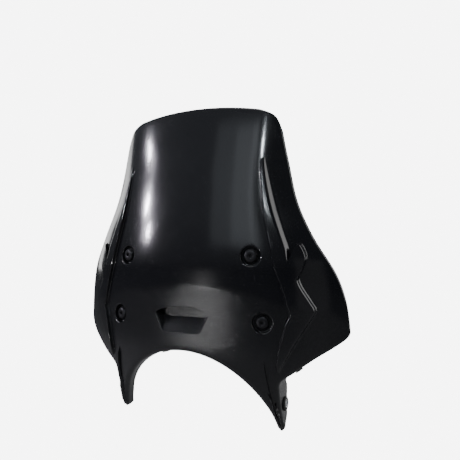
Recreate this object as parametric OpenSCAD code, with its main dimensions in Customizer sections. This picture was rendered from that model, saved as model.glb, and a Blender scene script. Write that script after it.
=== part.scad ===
// Moulded windshield screen for a round-headlamp motorcycle, with its rear stay, fixings and pivots.
// Frame: origin midway between the two leg pivots, +X to the rider's left, -Y forwards, +Z up.

/* [Screen outline] */
// Height of the top edge above the pivots, on the centre line
top_z = 369; // [308:1:443]
// Half width across the top corners
top_hw = 117; // [100:1:125]
// Height that the top edge drops between the centre and its corners
crown = 7; // [0:1:15]
// Radius that the top corners are turned with
corner_r = 30; // [20:1:40]
// Half width at the narrow waist, under the top corners
waist_hw = 122; // [118:1:130]
// Half width at the wing tips
wing_hw = 193; // [165:1:232]
// Height of the wing tips above the pivots
wing_z = 88; // [80:1:100]
// Radius of the headlamp arch
arch_r = 112; // [100:1:112]
// Height of the arch centre, below the pivots
arch_z = -50; // [-56:1:-46]
// Half width over the outside of the two legs
leg_hw = 117; // [117:1:122]
// Length of the legs below the pivots
leg_drop = 32; // [26:1:40]

/* [Screen surface] */
// Wall thickness of the moulding
wall = 3; // [2.5:0.1:3.5]
// How far the face stands in front of the pivots
face_y = 51.5; // [48:0.5:65]
// Radius of the bow across the face
bow_r = 435; // [380:5:600]
// How far the wing tips wrap back beyond the bow
wing_wrap = 24.5; // [18:0.5:32]
// Extra wrap of the sides above the wings
waist_wrap = 28; // [20:0.5:36]
// Half width of the flat field between the two upper folds
fold_x = 95; // [90:1:100]
// Slope that the face takes on outside the folds
fold_slope = 0.24; // [0:0.02:0.32]
// How far the top leans back
lean_back = 32; // [20:1:45]
// Height at which the lean begins
lean_z = 165; // [150:1:190]
// How far the legs sweep back
leg_sweep = 28; // [20:1:32]
// Radius of the rolled edge round the arch and the legs
arch_roll = 6; // [4.5:0.5:7]
// Radius of the rolled edge along the top, the sides and the wings
rim_roll = 4; // [3.6:0.1:5]
// Depth of the flat lip behind the arch roll
arch_lip = 10; // [6:1:14]

/* [Side panels] */
// Height that the side panels stand proud
panel_rise = 5; // [3:0.5:6]
// Width of their sloping edges
panel_edge = 3.5; // [2.5:0.5:4.5]

/* [Wells and fasteners] */
// Upper fastener: half spacing and height
bolt_up_x = 88.5; // [80:0.5:94]
bolt_up_z = 179; // [170:1:190]
// Lower fastener: half spacing and height
bolt_lo_x = 102; // [94:0.5:106]
bolt_lo_z = 101; // [96:1:108]
// Outward turn of the fastener axes, in degrees
splay = 16; // [12:0.5:20]
// Depth of the wells below the face
well_depth = 6.6; // [6:0.1:8]
// Radius of the wells
well_r = 11.75; // [11:0.25:13]
// Radius of the fastener thread
bolt_r = 2.95; // [2.4:0.05:3.4]
// Radius and height of the fastener head
head_r = 8; // [6.5:0.25:9]
head_h = 3.4; // [2.5:0.1:4]
// Length of the fastener under its head
bolt_len = 18; // [16:1:22]
// Hexagon key size
key_af = 4; // [3:0.5:5]
// Thickness of the nylon washer
washer_t = 1.2; // [0.8:0.1:2]
// Radius of the rubber well nut body
nut_r = 6.35; // [5.5:0.05:7]
// Thickness of the well nut flange
nut_flange_t = 1.8; // [1.2:0.1:2.5]
// Length of the well nut behind the flange
nut_len = 15; // [13:1:18]
// Radius and length of the brass insert
insert_r = 4.6; // [4.2:0.1:5]
insert_len = 8; // [6:0.5:9]

/* [Vent] */
// Half widths of the vent at its top and its foot
vent_top_hw = 37.5; // [28:0.5:42]
vent_foot_hw = 26; // [18:0.5:30]
// Height of the vent foot and of its top corners
vent_foot_z = 85.5; // [84:0.5:90]
vent_corner_z = 108.5; // [104:0.5:114]
// Height that the vent top arches above its corners
vent_arch = 8; // [4:0.5:11]
// Depth of the air ramp and of the scoop behind the face
vent_depth = 14; // [12:0.5:16]

/* [Rear stay] */
// Thickness of the stay sheet
stay_t = 2.5; // [2:0.1:3]
// Half width of its side plates
plate_r = 13.5; // [13:0.5:15]
// Height of the upper and of the lower cross bar
up_bar_h = 18; // [12:1:22]
low_bar_h = 12; // [8:1:13]
// Reach of the ears behind the side plates
ear_reach = 34; // [26:1:44]
// Radius of the ear holes
ear_hole_r = 3.3; // [2.6:0.05:4.2]

/* [Leg pivots] */
// Bore radius of the steel sleeves
sleeve_bore_r = 3.2; // [2.6:0.05:3.4]
// Outer radius of the steel sleeves
sleeve_r = 4.5; // [4:0.1:5]
// Radius of the grommet neck and of its flanges
neck_r = 6.2; // [5.6:0.1:6.6]
grommet_r = 8.3; // [7.4:0.1:8.8]
// Thickness of each grommet flange
grommet_flange_t = 2; // [1.4:0.1:2.4]

/* [Fits] */
// Radial clearance of a turning fit
run_fit = 0.05; // [0.02:0.01:0.1]
// Radial clearance of a push fit
push_fit = 0.1; // [0.05:0.01:0.2]
// Radial clearance of a through hole
hole_fit = 0.3; // [0.15:0.05:0.5]

/* [Hidden] */
$fn = 48;

BLACK_PLASTIC = "#17181b";
BLACK_STEEL = "#222326";
BLACK_RUBBER = "#0f0f10";
NYLON = "#2b2b2d";
BRASS = "#b08d45";
ZINC = "#a9adb1";
bite = 1;

// ---- the moulded face -------------------------------------------------------------------------

lean_h = 200;
lean_pow = 1.3;
sweep_z = 75;
sweep_h = 107;
sweep_pow = 1.85;
waist_at = 260;
waist_span = 65;
fold_foot = 205;
fold_h = 100;
fold_round = 7;
wing_ref = 193;

function lean(z) = lean_back * pow(max(0, z - lean_z) / lean_h, lean_pow);
function sweep(z) = leg_sweep * pow(max(0, sweep_z - z) / sweep_h, sweep_pow);
function ease(t) = let (s = max(0, min(1, t))) s * s * (3 - 2 * s);
function fold(x, z) = let (t = abs(x) - fold_x)
    fold_slope * ease((z - fold_foot) / fold_h) * (t + sqrt(t * t + fold_round * fold_round)) / 2;
function wrap(z) = wing_wrap + waist_wrap * exp(-pow((z - waist_at) / waist_span, 2));
// Depth of the outer face at a place in the front view
function face(x, z) = -face_y + x * x / (2 * bow_r) + wrap(z) * pow(x / wing_ref, 4) + lean(z) + sweep(z)
    + fold(x, z);
function on_face(p, out = 0) = [p.x, face(p.x, p.y) - out, p.y];

// ---- its outline, as seen from the front ----------------------------------------------------

function unit(v) = v / norm(v);
// Catmull-Rom curve through a list of points
function knot(pts, i) = pts[max(0, min(len(pts) - 1, i))];
function curve(pts, t) =
    let (s = min(t, 0.999999) * (len(pts) - 1), i = floor(s), f = s - i,
         a = knot(pts, i - 1), b = knot(pts, i), c = knot(pts, i + 1), d = knot(pts, i + 2))
    0.5 * (2 * b + (c - a) * f + (2 * a - 5 * b + 4 * c - d) * f * f + (3 * b - a - 3 * c + d) * f * f * f);

arch_end = acos((-leg_drop + 4.5 - arch_z) / arch_r);
arch_foot = [arch_r * sin(arch_end), arch_z + arch_r * cos(arch_end)];
leg_heel = [leg_hw + 1.5, arch_foot.y + 0.5];
leg_foot = [arch_foot, [(arch_foot.x + leg_heel.x) / 2, -leg_drop], leg_heel];
leg_side = [leg_heel, [leg_hw, -13], [leg_hw, 13], [leg_hw + 2, 30], [leg_hw + 17, 42]];
wing_foot = [
    [leg_hw + 17, 42], [leg_hw + 38, 57.5], [wing_hw - 15, wing_z - 15.5], [wing_hw - 4, wing_z - 7],
    [wing_hw, wing_z]
];
top_edge = [for (t = [0:0.25:1]) [t * (top_hw - corner_r), top_z - crown * t * t]];
corner = [
    [top_hw - corner_r, top_z - crown],
    [top_hw - corner_r * 0.38, top_z - crown - corner_r * 0.3],
    [top_hw - 2, top_z - crown - corner_r * 0.98]
];
tip_gap = 0.003;
// A place down the side: its half width, and its share of the height from the wing tip to the corner
function side_at(hw, share) = [hw, wing_z + share * (corner[2].y - wing_z)];
side_edge = [
    corner[2], side_at(waist_hw, 0.859), side_at(waist_hw + 12, 0.65), side_at(wing_hw - 39, 0.466),
    side_at(wing_hw - 15, 0.294), side_at(wing_hw - 4, 0.151), side_at(wing_hw, tip_gap)
];

// One column of the moulding for each step round the foot outline, paired with a point of the top
function steps(n, first = 0) = [for (i = [first:n]) i / n];
foot = concat(
    [for (t = steps(12)) [arch_r * sin(t * arch_end), arch_z + arch_r * cos(t * arch_end)]],
    [for (t = steps(3, 1)) curve(leg_foot, t)],
    [for (t = steps(6, 1)) curve(leg_side, t)],
    [for (t = steps(8, 1)) curve(wing_foot, t)]
);
// The top outline at u: 0 to 1 along the top, 1 to 2 round the corner, 2 to 3 down the side
function top_at(u) = u < 1 ? curve(top_edge, u) : u < 2 ? curve(corner, u - 1) : curve(side_edge, u - 2);
head = concat(
    [for (t = steps(12)) top_at(t * 0.82)],
    [for (t = steps(3, 1)) top_at(0.82 + t * 0.1)],
    [for (t = steps(6, 1)) top_at(0.92 + t * 1.08)],
    [for (t = steps(8, 1)) top_at(2 + t)]
);
columns = len(foot) - 1;
legs_from = 12;
legs_mid = 15;
legs_to = 21;
leg_bend = 0.25;
leg_bend_span = 6;

// Depth of the straight flange behind the roll, column by column
flange_y = 8;
flange_foot_y = -4;
flange_top_z = 22;
flange_low_z = -15;
flange_foot_z = -27.5;
wing_lip = 5;
rim_lip = 1.5;
function flange(i, y) =
    i <= legs_from ? arch_lip
    : i <= legs_from + 3 ? arch_lip + (flange_foot_y - y - arch_lip) * (i - legs_from) / 3
    : i >= legs_to ? wing_lip + (rim_lip - wing_lip) * (i - legs_to) / (columns - legs_to)
    : let (z = foot[i].y, low = (z - flange_foot_z) / (flange_low_z - flange_foot_z),
           back = z < flange_low_z ? flange_foot_y + (flange_y - flange_foot_y) * low
               : flange_y - max(0, z - flange_top_z) * 1.1)
    max(rim_lip, back - y);

// Outward direction at column i of an outline; side is 1 for the foot and -1 for the head. The two
// outlines meet at the wing tip, where both rolled edges turn the same way.
function square_out(line, i, side) =
    let (t = i == 0 ? [1, 0] : unit(line[min(i + 1, columns)] - line[i - 1])) side * [t.y, -t.x];
function outward(line, i, side) =
    i == columns ? unit(square_out(foot, i, 1) + square_out(head, i, -1)) : square_out(line, i, side);
function slope(p, n) = let (q = p - 3 * n) (face(p.x, p.y) - face(q.x, q.y)) / 3;
// Inset of the last point of the smooth face, so that the rolled edge ends on the outline
function inset(p, n, r) = p - n * r * (1 - sin(atan(slope(p, n))));
// Rolled edge from the face round to straight back, then a flange
function rolled(p, n, r, back) =
    let (q = inset(p, n, r), s = slope(q, n), k = sqrt(1 + s * s), turn = 90 - atan(s),
         start = on_face(q), along = [n.x, s, n.y] / k, square = [-s * n.x, 1, -s * n.y] / k,
         end = start + r * (sin(turn) * along + (1 - cos(turn)) * square))
    concat(
        [for (f = [1 / 3, 2 / 3]) start + r * (sin(turn * f) * along + (1 - cos(turn * f)) * square)],
        [for (f = [0, 0.5, 1]) end + [0, back * f, 0]]
    );

rows = 15;
// Columns that start from a leg turn inwards first, to stay inside the leg
function bend(i) = 1 - leg_bend * max(0, 1 - abs(i - legs_mid) / leg_bend_span);
// Width of a leg at height z, and the radius of the foot roll, which is tighter down the legs
function leg_w(z) = leg_heel.x - sqrt(pow(arch_r, 2) - pow(min(arch_r, z - arch_z), 2));
function foot_roll(i) = i < legs_to ? min(arch_roll, 0.42 * leg_w(foot[i].y))
    : arch_roll + (rim_roll - arch_roll) * min(1, (i - legs_to) / 3);
function column(i) =
    let (nf = outward(foot, i, 1), nh = outward(head, i, -1), r = foot_roll(i),
         a = inset(foot[i], nf, r), b = inset(head[i], nh, rim_roll),
         low = rolled(foot[i], nf, r, 0), y = low[4].y)
    concat(
        [for (j = [4:-1:0]) rolled(foot[i], nf, r, flange(i, y))[j]],
        [for (j = [0:rows]) on_face([
            a.x + (b.x - a.x) * pow(j / rows, bend(i)), a.y + (b.y - a.y) * j / rows])],
        rolled(head[i], nh, rim_roll, rim_lip)
    );
right_half = [for (i = [0:columns]) column(i)];
skin = concat(
    [for (i = [columns:-1:1]) [for (p = right_half[i]) [-p.x, p.y, p.z]]],
    right_half
);
n_cols = len(skin);
n_rows = len(skin[0]);
function square_to(i, j) = unit(cross(
    skin[i][min(j + 1, n_rows - 1)] - skin[i][max(j - 1, 0)],
    skin[min(i + 1, n_cols - 1)][j] - skin[max(i - 1, 0)][j]));
lining = [for (i = [0:n_cols - 1]) [for (j = [0:n_rows - 1]) skin[i][j] + wall * square_to(i, j)]];

// Closed solid between two grids of points that have the same shape; a is the outer one
module sheet_solid(a, b) {
    n = len(a);
    m = len(a[0]);
    function at(s, i, j) = s * n * m + i * m + j;
    polyhedron(
        concat([for (c = a) each c], [for (c = b) each c]),
        concat(
            [for (i = [0:n - 2], j = [0:m - 2]) each [
                [at(0, i, j), at(0, i, j + 1), at(0, i + 1, j + 1)],
                [at(0, i, j), at(0, i + 1, j + 1), at(0, i + 1, j)],
                [at(1, i, j), at(1, i + 1, j + 1), at(1, i, j + 1)],
                [at(1, i, j), at(1, i + 1, j), at(1, i + 1, j + 1)]]],
            [for (i = [0:n - 2]) each [
                [at(0, i, 0), at(0, i + 1, 0), at(1, i + 1, 0)],
                [at(0, i, 0), at(1, i + 1, 0), at(1, i, 0)],
                [at(0, i, m - 1), at(1, i + 1, m - 1), at(0, i + 1, m - 1)],
                [at(0, i, m - 1), at(1, i, m - 1), at(1, i + 1, m - 1)]]],
            [for (j = [0:m - 2]) each [
                [at(0, 0, j), at(1, 0, j + 1), at(0, 0, j + 1)],
                [at(0, 0, j), at(1, 0, j), at(1, 0, j + 1)],
                [at(0, n - 1, j), at(0, n - 1, j + 1), at(1, n - 1, j + 1)],
                [at(0, n - 1, j), at(1, n - 1, j + 1), at(1, n - 1, j)]]]
        ),
        convexity = 10
    );
}

// ---- side panels ---------------------------------------------------------------------------------

// Rungs of the panel from its head to its foot: inner end, outer end, rise and width of outer slope.
// They are drawn for the plain sizes below, and panel_at moves them with the wings and the top.
drawn_wing_hw = 193;
drawn_wing_z = 88;
drawn_top_z = 369;
drawn_head_x = 95;
function panel_at(p) = [
    p.x + max(0, p.x - drawn_head_x) * (wing_hw - drawn_wing_hw) / (drawn_wing_hw - drawn_head_x),
    p.y + wing_z - drawn_wing_z
        + max(0, p.y - drawn_wing_z) * ((top_z - wing_z) / (drawn_top_z - drawn_wing_z) - 1)
];
rungs = [
    [[95, 299], [99, 298], 0.2, 1], [[92.5, 290], [102, 286], 0.5, 2],
    [[95, 265], [108, 262], 0.8, 2], [[99, 232], [117, 233], 1, 2.2],
    [[104.5, 207], [125, 209], 1, 2], [[111, 180], [131, 190], 1, 1.6],
    [[118, 155], [132, 176], 1, 1], [[119.5, 151.5], [135, 181.5], 1, 1],
    [[121, 148], [139, 192], 1, 1], [[122, 145.5], [143, 195], 1, 1],
    [[122.5, 143], [150, 180], 1, 1], [[123, 140], [147, 165], 1, 1],
    [[125, 134], [143, 151], 1, 1], [[128, 121], [156, 126], 1, 1],
    [[131, 110], [160.5, 117], 1, 1], [[127, 100], [158, 109], 1, 1],
    [[121, 78], [141, 80], 1, 1], [[117, 58], [131, 62], 0.9, 1],
    [[115.5, 50], [124, 49], 0.7, 1], [[118, 43], [121, 43.5], 0.3, 1]
];
// Section of the panel across a rung of width w: distance along the rung, share of the rise
function across(r, w) =
    let (a = min(panel_edge, w / 3), b = min(panel_edge * r[3], w / 2.2))
    [[0, -1], [a * 0.3, 0.55], [a, 1], [(w + a - b) / 2, 1], [w - b, 1], [w - b * 0.3, 0.55], [w, -1]];
// Shell of the panel: rise above the face at each place of a rung
function panel_out(r) =
    let (w = norm(r[1] - r[0]), d = (r[1] - r[0]) / w)
    [for (s = across(r, w)) on_face(r[0] + d * s[0], s[1] < 0 ? -bite : panel_rise * r[2] * s[1])];
function panel_in(r) =
    let (w = norm(r[1] - r[0]), d = (r[1] - r[0]) / w)
    [for (s = across(r, w)) on_face(r[0] + d * s[0], -2 * bite)];
module side_panel() {
    placed = [for (r = rungs) [panel_at(r[0]), panel_at(r[1]), r[2], r[3]]];
    sheet_solid([for (r = placed) panel_out(r)], [for (r = placed) panel_in(r)]);
}

// ---- fastener wells ------------------------------------------------------------------------------

// Plane of the well floors, measured along the splayed axis from the origin
function along_axis(x, z) = x * sin(splay) - face(x, z) * cos(splay);
floor_d = min(along_axis(bolt_up_x, bolt_up_z), along_axis(bolt_lo_x, bolt_lo_z)) - well_depth;
// Moves children to a fastener: their +Z runs outwards along its axis from the well floor, which
// lies $depth below the face
module at_bolt(x, z, side) {
    along = face(x, z) * sin(splay) + x * cos(splay);
    $depth = along_axis(x, z) - floor_d;
    mirror([side < 0 ? 1 : 0, 0, 0])
        translate([0, 0, z]) rotate([0, 0, splay]) translate([along, -floor_d, 0])
            rotate([90, 0, 0]) children();
}
module at_bolts() {
    for (side = [1, -1]) {
        at_bolt(bolt_up_x, bolt_up_z, side) children();
        at_bolt(bolt_lo_x, bolt_lo_z, side) children();
    }
}

// ---- vent ------------------------------------------------------------------------------------------

vent_r = (pow(vent_top_hw, 2) + pow(vent_arch, 2)) / (2 * vent_arch);
vent_turn = asin(vent_top_hw / vent_r);
// Front outline of the vent, grown by g
function vent_outline(g) = concat(
    [[vent_foot_hw + g, vent_foot_z - g], [vent_top_hw + g * 1.2, vent_corner_z]],
    [for (a = [vent_turn:-vent_turn / 8:-vent_turn]) [
        (vent_r + g) * sin(a), vent_corner_z + vent_arch - vent_r + (vent_r + g) * cos(a)]],
    [[-vent_top_hw - g * 1.2, vent_corner_z], [-vent_foot_hw - g, vent_foot_z - g]]
);
front_room = 20;
vent_front = -face_y - front_room / 2;
vent_back = -face_y + vent_depth;
ramp_rise = (vent_corner_z - vent_foot_z) * 0.75;
ramp_slope = ramp_rise / vent_depth;
scoop_wall = 2.4;
mouth_hw = vent_top_hw - 8;
mouth_h = 30;
// The scoop is open at its top, behind the wall of the screen
module scoop_mouth() {
    front = face(mouth_hw, vent_corner_z) + wall + 0.5;
    translate([-mouth_hw, front, vent_corner_z - 2]) cube([2 * mouth_hw, vent_back - front, mouth_h]);
}
module vent_prism(g, y0, y1, drop) {
    intersection() {
        translate([0, y1, 0]) rotate([90, 0, 0]) linear_extrude(y1 - y0) polygon(vent_outline(g));
        rotate([90, 0, 90]) translate([0, 0, -2 * vent_top_hw]) linear_extrude(4 * vent_top_hw)
            polygon([
                [-face_y - front_room, vent_foot_z - drop - front_room * ramp_slope],
                [vent_back + front_room, vent_foot_z - drop + ramp_rise + front_room * ramp_slope],
                [vent_back + front_room, 2 * vent_corner_z],
                [-face_y - front_room, 2 * vent_corner_z]]);
    }
}

// ---- the screen ----------------------------------------------------------------------------------

module grommet_holes() {
    for (side = [1, -1]) to_leg(side) translate([0, 0, -wall]) cylinder(r = neck_r + push_fit, h = 3 * wall);
}
module screen_shell() {
    color(BLACK_PLASTIC)
    difference() {
        // The moulding is freeform, so it is joined as one mesh before the true bores are cut
        resize([0, 0, 0]) difference() {
            union() {
                sheet_solid(skin, lining);
                side_panel();
                mirror([1, 0, 0]) side_panel();
                at_bolts() translate([0, 0, -wall]) cylinder(r = well_r + wall, h = wall / 2 + $depth);
                vent_prism(scoop_wall, -face_y + scoop_wall, vent_back + scoop_wall, wall);
            }
            at_bolts() cylinder(r = well_r, h = well_depth + 20);
            vent_prism(0, vent_front, vent_back, 0);
            scoop_mouth();
        }
        at_bolts() translate([0, 0, -wall - 1]) cylinder(r = nut_r + push_fit, h = wall + 2);
        grommet_holes();
    }
}

// ---- fasteners -----------------------------------------------------------------------------------

under_head = nut_flange_t + washer_t;
module bolt() {
    color(BLACK_STEEL)
    difference() {
        union() {
            rotate_extrude() polygon([
                [0, under_head], [head_r - 0.2, under_head], [head_r, under_head + 0.3],
                [head_r, under_head + 1.4], [head_r - 0.9, under_head + 2.6],
                [head_r - 2.6, under_head + head_h], [0, under_head + head_h]]);
            translate([0, 0, under_head - bolt_len]) cylinder(r1 = bolt_r - 0.6, r2 = bolt_r, h = 0.8);
            translate([0, 0, under_head - bolt_len + 0.8]) cylinder(r = bolt_r, h = bolt_len - 0.7);
        }
        translate([0, 0, under_head + head_h - 2.2]) cylinder(d = key_af / cos(30), h = 3, $fn = 6);
    }
}
module washer() {
    color(NYLON)
    translate([0, 0, nut_flange_t]) difference() {
        cylinder(r = head_r - 0.4, h = washer_t);
        translate([0, 0, -1]) cylinder(r = bolt_r + hole_fit, h = washer_t + 2);
    }
}
module well_nut() {
    color(BLACK_RUBBER)
    difference() {
        union() {
            cylinder(r = head_r + 0.6, h = nut_flange_t);
            translate([0, 0, -nut_len]) cylinder(r = nut_r, h = nut_len + 0.5);
        }
        translate([0, 0, -nut_len - 1]) cylinder(r = bolt_r + hole_fit, h = nut_len + 4);
        translate([0, 0, -nut_len - 1]) cylinder(r = insert_r, h = insert_len + 1);
    }
}
module insert() {
    color(BRASS)
    translate([0, 0, -nut_len]) difference() {
        cylinder(r = insert_r, h = insert_len);
        translate([0, 0, -1]) cylinder(r = bolt_r + run_fit, h = insert_len + 2);
    }
}

// ---- rear stay -------------------------------------------------------------------------------------

stay_d = floor_d - wall;
function plate_y(x) = (x * sin(splay) - stay_d) / cos(splay);
function along_plate(x, z) = face(x, z) * sin(splay) + x * cos(splay);
low_bar_z = vent_foot_z - wall - 2 - low_bar_h;
// Flat bar that bows between the side plates
module cross_bar(z, h, x) {
    y_end = plate_y(x) + stay_t / 2;
    function y_at(t) = y_end - x * x / (2 * bow_r * 1.3) * (1 - t * t);
    translate([0, 0, z]) linear_extrude(h) polygon(concat(
        [for (i = [-8:8]) [i / 8 * x, y_at(i / 8) - stay_t / 2]],
        [for (i = [8:-1:-8]) [i / 8 * x, y_at(i / 8) + stay_t / 2]]));
}
// Flat plate behind two well floors, drawn in its own plane: rounded over the upper fastener and
// carried down past the lower one to the lower cross bar
module side_plate() {
    up = [along_plate(bolt_up_x, bolt_up_z), bolt_up_z];
    lo = [along_plate(bolt_lo_x, bolt_lo_z), bolt_lo_z];
    tilt = atan2(up.x - lo.x, up.y - lo.y);
    rotate([0, 0, splay]) translate([0, -stay_d + stay_t, 0]) rotate([90, 0, 0]) linear_extrude(stay_t)
        polygon(concat(
            [for (i = [0:12]) up + plate_r * [cos(15 * i - tilt), sin(15 * i - tilt)]],
            [[lo.x - plate_r, lo.y], [lo.x - plate_r, low_bar_z], [lo.x + plate_r, low_bar_z],
             [lo.x + plate_r, lo.y]]));
}
ear_x = 76;
ear_z = (bolt_up_z + bolt_lo_z) / 2;
ear_h = 22;
ear_y = plate_y(ear_x) + ear_reach;
ear_hole_x = ear_x - ear_h / 2;
// Arm that runs back from the side plate, then turns inwards as a drilled tab
module ear() {
    translate([ear_x, plate_y(ear_x) + stay_t / 2, ear_z - ear_h / 2])
        cube([stay_t, ear_reach - stay_t / 2, ear_h]);
    translate([0, ear_y, ear_z]) rotate([90, 0, 0]) linear_extrude(stay_t) hull() {
        translate([ear_hole_x, 0]) circle(r = ear_h / 2);
        translate([ear_x, -ear_h / 2]) square([stay_t, ear_h]);
    }
}
module rear_stay() {
    color(BLACK_STEEL)
    difference() {
        union() {
            side_plate();
            mirror([1, 0, 0]) side_plate();
            cross_bar(bolt_up_z - up_bar_h / 2, up_bar_h, bolt_up_x - nut_r - 2.5);
            cross_bar(low_bar_z, low_bar_h, bolt_lo_x - 10);
            ear();
            mirror([1, 0, 0]) ear();
        }
        at_bolts() translate([0, 0, -wall - stay_t - 1]) cylinder(r = nut_r + push_fit, h = stay_t + 2);
        for (side = [1, -1]) translate([side * ear_hole_x, ear_y + 1, ear_z]) rotate([90, 0, 0])
            cylinder(r = ear_hole_r, h = stay_t + 2);
    }
}

// ---- leg pivots ----------------------------------------------------------------------------------

module to_leg(side) {
    mirror([side < 0 ? 1 : 0, 0, 0]) translate([leg_hw - wall, 0, 0]) rotate([0, 90, 0]) children();
}
module leg_grommet() {
    color(BLACK_RUBBER)
    rotate_extrude() polygon([
        [sleeve_r + run_fit, -grommet_flange_t], [grommet_r - 0.5, -grommet_flange_t],
        [grommet_r, -grommet_flange_t + 0.5], [grommet_r, -0.05], [neck_r, -0.05],
        [neck_r, wall + 0.05], [grommet_r, wall + 0.05], [grommet_r, wall + grommet_flange_t - 0.7],
        [grommet_r - 0.7, wall + grommet_flange_t], [sleeve_r + run_fit, wall + grommet_flange_t]]);
}
module pivot_sleeve() {
    color(ZINC)
    translate([0, 0, -grommet_flange_t - 0.3]) difference() {
        cylinder(r = sleeve_r, h = wall + 2 * grommet_flange_t + 0.6);
        translate([0, 0, -1]) cylinder(r = sleeve_bore_r, h = wall + 2 * grommet_flange_t + 4);
    }
}

// ---- rubber buffers and pads --------------------------------------------------------------------

pad_fit = 0.15;
pad_t = 1.6;
pad_grip = 3.4;
// Section of a channel that grips an edge: the edge is a wall thick and ends at y = 0, outer face at z = 0
channel = [
    [-pad_grip, -pad_t], [pad_t, -pad_t], [pad_t, wall + pad_t], [-pad_grip, wall + pad_t],
    [-pad_grip, wall + pad_fit], [pad_fit, wall + pad_fit], [pad_fit, -pad_fit], [-pad_grip, -pad_fit]
];
buffer_turn = 16;
buffer_span = 5;
function arch_point(a) = [arch_r * sin(a), arch_z + arch_r * cos(a)];
function arch_back(a) = rolled(arch_point(a), [-sin(a), -cos(a)], arch_roll, arch_lip)[4];
// Places a channel section, extruded along X, on the edge that runs from a to b with its wall along Y
module on_edge(a, b, length) {
    x = unit(b - a);
    z = unit(cross(x, [0, 1, 0]));
    y = cross(z, x);
    mid = (a + b) / 2;
    multmatrix([[x.x, y.x, z.x, mid.x], [x.y, y.y, z.y, mid.y], [x.z, y.z, z.z, mid.z], [0, 0, 0, 1]])
        rotate([90, 0, 90]) translate([0, 0, -length / 2]) linear_extrude(length) polygon(channel);
}
module arch_buffer() {
    color(BLACK_RUBBER)
    on_edge(arch_back(buffer_turn - buffer_span / 2), arch_back(buffer_turn + buffer_span / 2), 9.5);
}
// The pad is shorter than the straight piece of edge between the first two columns of the wing
pad_share = 0.8;
module wing_pad() {
    a = right_half[legs_to][0];
    b = right_half[legs_to + 1][0];
    color(BLACK_RUBBER)
    on_edge(a, b, pad_share * norm(b - a));
}

module sided(side) {
    mirror([side < 0 ? 1 : 0, 0, 0]) children();
}

screen_shell();
rear_stay();
for (s = [["left", 1], ["right", -1]]) {
    for (b = [["upper", bolt_up_x, bolt_up_z], ["lower", bolt_lo_x, bolt_lo_z]]) {
        at = str(b[0], "_", s[0], "_");
        at_bolt(b[1], b[2], s[1]) bolt();
        at_bolt(b[1], b[2], s[1]) washer();
        at_bolt(b[1], b[2], s[1]) well_nut();
        at_bolt(b[1], b[2], s[1]) insert();
    }
    to_leg(s[1]) leg_grommet();
    to_leg(s[1]) pivot_sleeve();
    sided(s[1]) arch_buffer();
    sided(s[1]) wing_pad();
}
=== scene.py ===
import math

import bpy
from mathutils import Matrix, Vector


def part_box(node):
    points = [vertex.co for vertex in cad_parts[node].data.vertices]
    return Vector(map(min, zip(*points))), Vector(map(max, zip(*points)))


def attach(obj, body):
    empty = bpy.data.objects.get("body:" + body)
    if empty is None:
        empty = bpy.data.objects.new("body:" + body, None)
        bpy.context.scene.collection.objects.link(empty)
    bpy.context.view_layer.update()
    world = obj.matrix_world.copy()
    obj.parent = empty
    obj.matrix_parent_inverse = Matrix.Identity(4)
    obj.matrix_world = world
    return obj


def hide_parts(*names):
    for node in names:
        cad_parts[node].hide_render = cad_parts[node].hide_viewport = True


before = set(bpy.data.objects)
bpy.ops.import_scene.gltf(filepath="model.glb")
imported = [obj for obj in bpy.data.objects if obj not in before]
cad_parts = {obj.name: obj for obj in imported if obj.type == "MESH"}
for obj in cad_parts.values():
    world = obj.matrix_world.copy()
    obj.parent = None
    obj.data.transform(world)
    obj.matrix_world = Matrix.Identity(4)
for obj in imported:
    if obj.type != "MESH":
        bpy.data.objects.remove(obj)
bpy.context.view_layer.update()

# ==== The moulded screen =============================================================================
# One wall of black ABS, 3 mm thick, injection moulded: polished above, fine mould grain below. Every
# free edge is rolled back, the headlamp arch ends in a flat lip, and each leg in a flange with a hole.
# Sizes here are millimetres, and MM turns them into metres.

MM = 0.001
wall = 3.0
top_z, top_hw, crown, corner_r = 369.0, 117.0, 7.0, 30.0
waist_hw, wing_hw, wing_z = 122.0, 193.0, 88.0
arch_r, arch_z = 112.0, -50.0
leg_hw, leg_drop = 117.0, 32.0
arch_roll, rim_roll, arch_lip, wing_lip, rim_lip = 6.0, 4.0, 10.0, 5.0, 1.5
# The face is bowed across. It wraps round at the wings and the waist, leans back above, sweeps back
# down the legs, and folds back beside its upper part.
face_y, bow_r = 51.5, 435.0
wing_wrap, waist_wrap, waist_at, waist_span = 24.5, 28.0, 260.0, 65.0
lean_back, lean_z, lean_h, lean_pow = 32.0, 165.0, 200.0, 1.3
leg_sweep, sweep_z, sweep_h, sweep_pow = 28.0, 75.0, 107.0, 1.85
fold_x, fold_foot, fold_h, fold_slope, fold_round = 95.0, 205.0, 100.0, 0.24, 7.0


def face(x, z):
    """How far back the outer face lies at a place in the front view."""
    wrap = wing_wrap + waist_wrap * math.exp(-(((z - waist_at) / waist_span) ** 2))
    lean = lean_back * (max(0, z - lean_z) / lean_h) ** lean_pow
    sweep = leg_sweep * (max(0, sweep_z - z) / sweep_h) ** sweep_pow
    rise = min(1, max(0, (z - fold_foot) / fold_h))
    past = abs(x) - fold_x
    fold = fold_slope * rise * rise * (3 - 2 * rise) * (past + math.hypot(past, fold_round)) / 2
    return x * x / (2 * bow_r) - face_y + wrap * (x / wing_hw) ** 4 + lean + sweep + fold


def on_face(p, out=0.0):
    """The place on the face, or out in front of it, that the front view shows at p."""
    return Vector((p[0], face(p[0], p[1]) - out, p[1]))


def curve(points, t):
    """A place on the smooth curve through the points, with t from 0 to 1."""
    s = min(max(t, 0), 0.999999) * (len(points) - 1)
    i = int(s)
    f = s - i
    a, b, c, d = (Vector(points[max(0, min(len(points) - 1, i + k))]) for k in (-1, 0, 1, 2))
    squared, cubed = 2 * a - 5 * b + 4 * c - d, 3 * b - a - 3 * c + d
    return 0.5 * (2 * b + (c - a) * f + squared * f**2 + cubed * f**3)


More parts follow.
